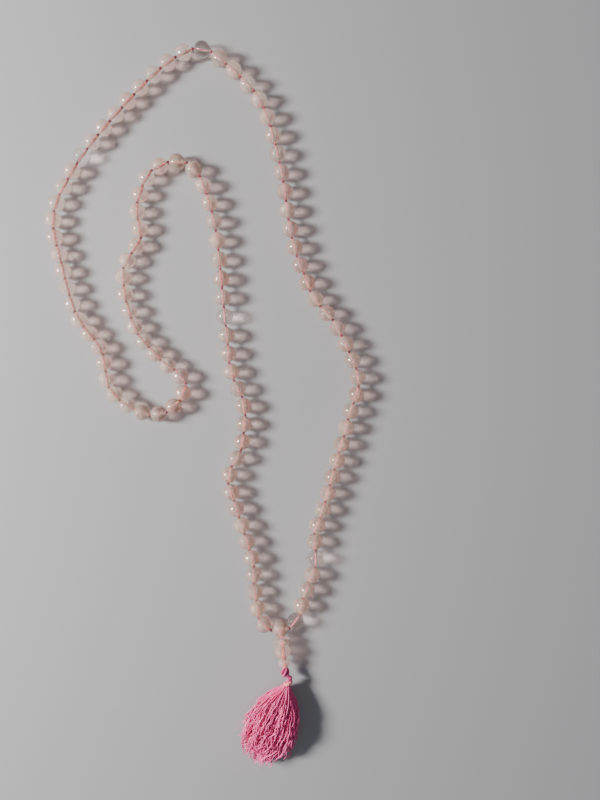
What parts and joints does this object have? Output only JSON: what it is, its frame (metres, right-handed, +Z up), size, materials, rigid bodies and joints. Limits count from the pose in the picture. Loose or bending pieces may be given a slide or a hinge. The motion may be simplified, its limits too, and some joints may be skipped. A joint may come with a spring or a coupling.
{
  "type": "mala prayer beads",
  "caption": "Loop of round rose-quartz beads knotted on a pink string, with a guru bead, a short turned tower and a thread tassel, laid flat in a loose fold.",
  "frame": {"origin": "on the table, straight under the centre of the guru bead", "axes": "+Y runs from the tassel to the far end of the loop, +Z is up, and the beads lie flat on Z = 0"},
  "size_m": [0.1568, 0.3563, 0.0122],
  "materials": {
    "rose_quartz": "polished, milky and translucent, with paler veils",
    "string": "twisted pink cord with tight dark red knots",
    "tassel_cord": "knotted magenta cord",
    "binding": "smooth salmon cord, wound tight",
    "tassel_thread": "loose wavy silk-like threads with a soft sheen"
  },
  "bodies": {
    "root": {"guru_bead": "rose_quartz", "knotted_string": "string", "beads_1_to_3": "rose_quartz", "beads_103_to_105": "rose_quartz"},
    "lower_left_strand": {"beads_5_to_7": "rose_quartz", "beads_8_to_10": "rose_quartz", "beads_12_to_14": "rose_quartz", "beads_15_to_17": "rose_quartz", "beads_19_to_21": "rose_quartz", "beads_22_to_24": "rose_quartz"},
    "upper_left_strand": {"beads_26_to_28": "rose_quartz"},
    "fold_top": {"beads_29_to_31": "rose_quartz"},
    "fold_inner_side": {"beads_33_to_35": "rose_quartz", "beads_36_to_38": "rose_quartz"},
    "fold_bottom": {"beads_40_to_42": "rose_quartz", "beads_43_to_45": "rose_quartz", "beads_47_to_49": "rose_quartz", "beads_50_to_52": "rose_quartz", "beads_54_to_56": "rose_quartz"},
    "fold_outer_side": {"beads_57_to_59": "rose_quartz", "beads_61_to_63": "rose_quartz"},
    "outer_strand": {"beads_64_to_66": "rose_quartz"},
    "top_rise": {"beads_68_to_70": "rose_quartz", "beads_71_to_73": "rose_quartz"},
    "top_turn": {"beads_75_to_77": "rose_quartz"},
    "top_fall": {"beads_78_to_80": "rose_quartz"},
    "right_strand": {"beads_82_to_84": "rose_quartz", "beads_85_to_87": "rose_quartz", "beads_89_to_91": "rose_quartz", "beads_92_to_94": "rose_quartz", "beads_96_to_98": "rose_quartz", "beads_99_to_101": "rose_quartz"},
    "bead_4": {"bead_4": "rose_quartz"},
    "bead_11": {"bead_11": "rose_quartz"},
    "bead_18": {"bead_18": "rose_quartz"},
    "bead_25": {"bead_25": "rose_quartz"},
    "bead_32": {"bead_32": "rose_quartz"},
    "bead_39": {"bead_39": "rose_quartz"},
    "bead_46": {"bead_46": "rose_quartz"},
    "bead_53": {"bead_53": "rose_quartz"},
    "bead_60": {"bead_60": "rose_quartz"},
    "bead_67": {"bead_67": "rose_quartz"},
    "bead_74": {"bead_74": "rose_quartz"},
    "bead_81": {"bead_81": "rose_quartz"},
    "bead_88": {"bead_88": "rose_quartz"},
    "bead_95": {"bead_95": "rose_quartz"},
    "bead_102": {"bead_102": "rose_quartz"},
    "bead_106": {"bead_106": "rose_quartz"},
    "bead_107": {"bead_107": "rose_quartz"},
    "bead_108": {"bead_108": "rose_quartz"},
    "tower": {"string_ends": "string", "closing_knot": "tassel_cord"},
    "tower_disc": {"tower_disc": "rose_quartz"},
    "tower_barrel": {"tower_barrel": "rose_quartz"},
    "tower_tip": {"tower_tip": "rose_quartz"},
    "tassel_head": {"neck_knot": "tassel_cord", "tassel_binding": "binding"},
    "tassel_skirt": {"tassel_skirt": "tassel_thread"}
  },
  "joints": [
    {"name": "left_strand_bend", "type": "hinge", "parent": "root", "child": "lower_left_strand", "pos_m": [-0.01309, 0.03035, 0.004], "axis": [0, 0, 1], "range_deg": [-8, 8], "deforming": ["knotted_string"]},
    {"name": "left_strand_top_bend", "type": "hinge", "parent": "lower_left_strand", "child": "upper_left_strand", "pos_m": [-0.0334, 0.20363, 0.004], "axis": [0, 0, 1], "range_deg": [-8, 8]},
    {"name": "fold_swing_bend", "type": "hinge", "parent": "upper_left_strand", "child": "fold_top", "pos_m": [-0.05509, 0.22823, 0.004], "axis": [0, 0, 1], "range_deg": [-5, 5], "deforming": ["knotted_string"]},
    {"name": "fold_top_bend", "type": "hinge", "parent": "fold_top", "child": "fold_inner_side", "pos_m": [-0.07015, 0.20812, 0.004], "axis": [0, 0, 1], "range_deg": [-8, 8], "deforming": ["knotted_string"]},
    {"name": "fold_lower_bend", "type": "hinge", "parent": "fold_inner_side", "child": "fold_bottom", "pos_m": [-0.07295, 0.15129, 0.004], "axis": [0, 0, 1], "range_deg": [-8, 8]},
    {"name": "fold_outer_bend", "type": "hinge", "parent": "fold_bottom", "child": "fold_outer_side", "pos_m": [-0.10522, 0.1706, 0.004], "axis": [0, 0, 1], "range_deg": [-8, 8]},
    {"name": "outer_strand_bend", "type": "hinge", "parent": "fold_outer_side", "child": "outer_strand", "pos_m": [-0.09965, 0.22731, 0.004], "axis": [0, 0, 1], "range_deg": [-8, 8]},
    {"name": "top_rise_bend", "type": "hinge", "parent": "outer_strand", "child": "top_rise", "pos_m": [-0.07768, 0.25474, 0.004], "axis": [0, 0, 1], "range_deg": [-5, 5]},
    {"name": "top_turn_bend", "type": "hinge", "parent": "top_rise", "child": "top_turn", "pos_m": [-0.03358, 0.28212, 0.004], "axis": [0, 0, 1], "range_deg": [-5, 5]},
    {"name": "top_fall_bend", "type": "hinge", "parent": "top_turn", "child": "top_fall", "pos_m": [-0.00809, 0.25459, 0.004], "axis": [0, 0, 1], "range_deg": [-5, 5]},
    {"name": "right_strand_bend", "type": "hinge", "parent": "root", "child": "right_strand", "pos_m": [0.01955, 0.05427, 0.004], "axis": [0, 0, 1], "range_deg": [-8, 8]},
    {"name": "bead_4_spin", "type": "hinge", "parent": "root", "child": "bead_4", "pos_m": [-0.01294, 0.02619, 0.004], "axis": [-0.0253, 0.9997, 0], "continuous": true},
    {"name": "bead_11_spin", "type": "hinge", "parent": "lower_left_strand", "child": "bead_11", "pos_m": [-0.02156, 0.08311, 0.004], "axis": [0.5003, 0.8659, 0], "continuous": true},
    {"name": "bead_18_spin", "type": "hinge", "parent": "lower_left_strand", "child": "bead_18", "pos_m": [-0.02633, 0.14347, 0.004], "axis": [-0.1122, 0.9937, 0], "continuous": true},
    {"name": "bead_25_spin", "type": "hinge", "parent": "upper_left_strand", "child": "bead_25", "pos_m": [-0.03474, 0.20806, 0.004], "axis": [-0.2946, 0.9556, 0], "continuous": true},
    {"name": "bead_32_spin", "type": "hinge", "parent": "fold_inner_side", "child": "bead_32", "pos_m": [-0.07009, 0.20384, 0.004], "axis": [0.0518, -0.9987, 0], "continuous": true},
    {"name": "bead_39_spin", "type": "hinge", "parent": "fold_bottom", "child": "bead_39", "pos_m": [-0.07123, 0.14748, 0.004], "axis": [0.4093, -0.9124, 0], "continuous": true},
    {"name": "bead_46_spin", "type": "hinge", "parent": "fold_bottom", "child": "bead_46", "pos_m": [-0.05958, 0.10489, 0.004], "axis": [-0.9791, -0.2033, 0], "continuous": true},
    {"name": "bead_53_spin", "type": "hinge", "parent": "fold_bottom", "child": "bead_53", "pos_m": [-0.09353, 0.14425, 0.004], "axis": [-0.6595, 0.7517, 0], "continuous": true},
    {"name": "bead_60_spin", "type": "hinge", "parent": "fold_outer_side", "child": "bead_60", "pos_m": [-0.11097, 0.19963, 0.004], "axis": [0.025, 0.9997, 0], "continuous": true},
    {"name": "bead_67_spin", "type": "hinge", "parent": "outer_strand", "child": "bead_67", "pos_m": [-0.08064, 0.25143, 0.004], "axis": [0.6664, 0.7456, 0], "continuous": true},
    {"name": "bead_74_spin", "type": "hinge", "parent": "top_turn", "child": "bead_74", "pos_m": [-0.02994, 0.27895, 0.004], "axis": [0.7589, -0.6512, 0], "continuous": true},
    {"name": "bead_81_spin", "type": "hinge", "parent": "right_strand", "child": "bead_81", "pos_m": [0.00064, 0.22293, 0.004], "axis": [0.1916, -0.9815, 0], "continuous": true},
    {"name": "bead_88_spin", "type": "hinge", "parent": "right_strand", "child": "bead_88", "pos_m": [0.01703, 0.16113, 0.004], "axis": [0.5587, -0.8294, 0], "continuous": true},
    {"name": "bead_95_spin", "type": "hinge", "parent": "right_strand", "child": "bead_95", "pos_m": [0.03437, 0.10629, 0.004], "axis": [-0.3223, -0.9466, 0], "continuous": true},
    {"name": "bead_102_spin", "type": "hinge", "parent": "root", "child": "bead_102", "pos_m": [0.01812, 0.05043, 0.004], "axis": [-0.3517, -0.9361, 0], "continuous": true},
    {"name": "bead_106_spin", "type": "hinge", "parent": "root", "child": "bead_106", "pos_m": [0.01298, 0.01875, 0.004], "axis": [-0.3768, -0.9263, 0], "continuous": true},
    {"name": "bead_107_spin", "type": "hinge", "parent": "root", "child": "bead_107", "pos_m": [0.01041, 0.01108, 0.004], "axis": [-0.1902, -0.9818, 0], "continuous": true},
    {"name": "bead_108_spin", "type": "hinge", "parent": "root", "child": "bead_108", "pos_m": [0.00738, 0.00357, 0.004], "axis": [-0.5876, -0.8091, 0], "continuous": true},
    {"name": "tower_swing", "type": "hinge", "parent": "root", "child": "tower", "pos_m": [0.00045, -0.00396, 0.00428], "axis": [0, 0, 1], "range_deg": [-12, 12]},
    {"name": "tower_disc_spin", "type": "hinge", "parent": "tower", "child": "tower_disc", "pos_m": [0.00049, -0.00426, 0.0043], "axis": [0.1129, -0.9912, 0.0698], "continuous": true},
    {"name": "tower_barrel_spin", "type": "hinge", "parent": "tower", "child": "tower_barrel", "pos_m": [0.00049, -0.00426, 0.0043], "axis": [0.1129, -0.9912, 0.0698], "continuous": true},
    {"name": "tower_tip_spin", "type": "hinge", "parent": "tower", "child": "tower_tip", "pos_m": [0.00049, -0.00426, 0.0043], "axis": [0.1129, -0.9912, 0.0698], "continuous": true},
    {"name": "tassel_swing", "type": "hinge", "parent": "tower", "child": "tassel_head", "pos_m": [0.00458, -0.02364, 0.00572], "axis": [0, 0, 1], "range_deg": [-20, 60]},
    {"name": "tassel_lift", "type": "hinge", "parent": "tassel_head", "child": "tassel_skirt", "pos_m": [0.00342, -0.02684, 0.0072], "axis": [-0.9397, 0.342, 0], "range_deg": [0, 45]}
  ],
  "couplings": [
    {"joint": "left_strand_top_bend", "follows": "left_strand_bend", "ratio": -1},
    {"joint": "right_strand_bend", "follows": "left_strand_bend", "ratio": 1},
    {"joint": "fold_lower_bend", "follows": "fold_top_bend", "ratio": -1},
    {"joint": "fold_outer_bend", "follows": "fold_top_bend", "ratio": 1},
    {"joint": "outer_strand_bend", "follows": "fold_top_bend", "ratio": -1},
    {"joint": "top_rise_bend", "follows": "fold_swing_bend", "ratio": -1},
    {"joint": "top_turn_bend", "follows": "fold_swing_bend", "ratio": 1},
    {"joint": "top_fall_bend", "follows": "fold_swing_bend", "ratio": -1}
  ]
}
